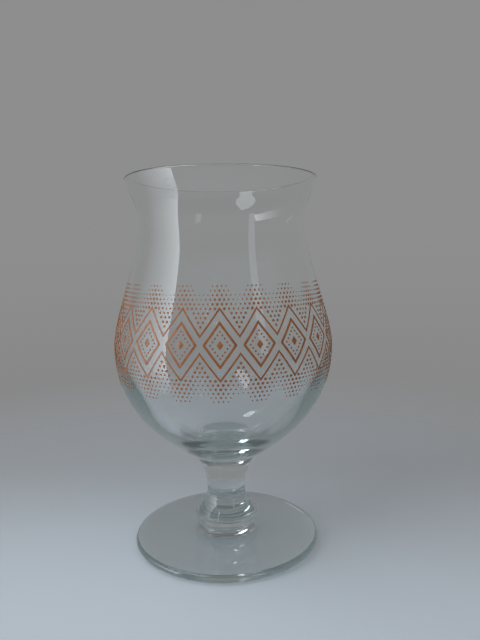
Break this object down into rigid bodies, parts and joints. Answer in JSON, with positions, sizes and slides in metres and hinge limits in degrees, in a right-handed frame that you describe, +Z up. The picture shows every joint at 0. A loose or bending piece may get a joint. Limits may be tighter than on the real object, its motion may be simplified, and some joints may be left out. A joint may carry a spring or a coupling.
{
  "type": "tulip beer glass",
  "caption": "Clear tulip-shaped stemmed beer glass with a flared rim, short waisted stem, round foot and a copper-coloured enamel lozenge frieze on the front of the bowl.",
  "frame": {"origin": "centre of the plane that the foot rests on, on the glass's axis", "axes": "+Z up along the glass's axis, -Y towards the printed front of the bowl, +X to the right of someone facing that front"},
  "size_m": [0.0944, 0.0947, 0.16],
  "materials": {
    "clear_glass": "clear, fire-polished soda-lime glass with a faint green-blue tint where it is thick",
    "copper_enamel": "opaque fired glass enamel, copper orange, satin"
  },
  "bodies": {
    "root": {"bowl": "clear_glass", "stem": "clear_glass", "foot": "clear_glass", "enamel_lozenge_1": "copper_enamel", "enamel_lozenge_2": "copper_enamel", "enamel_lozenge_3": "copper_enamel", "enamel_lozenge_4": "copper_enamel", "enamel_lozenge_5": "copper_enamel", "enamel_lozenge_6": "copper_enamel", "enamel_lozenge_7": "copper_enamel", "enamel_lozenge_8": "copper_enamel", "enamel_lozenge_9": "copper_enamel", "enamel_centre_1": "copper_enamel", "enamel_centre_2": "copper_enamel", "enamel_centre_3": "copper_enamel", "enamel_centre_4": "copper_enamel", "enamel_centre_5": "copper_enamel", "enamel_centre_6": "copper_enamel", "enamel_centre_7": "copper_enamel", "enamel_centre_8": "copper_enamel", "enamel_centre_9": "copper_enamel", "enamel_zigzag_upper": "copper_enamel", "enamel_zigzag_lower": "copper_enamel"}
  },
  "joints": []
}
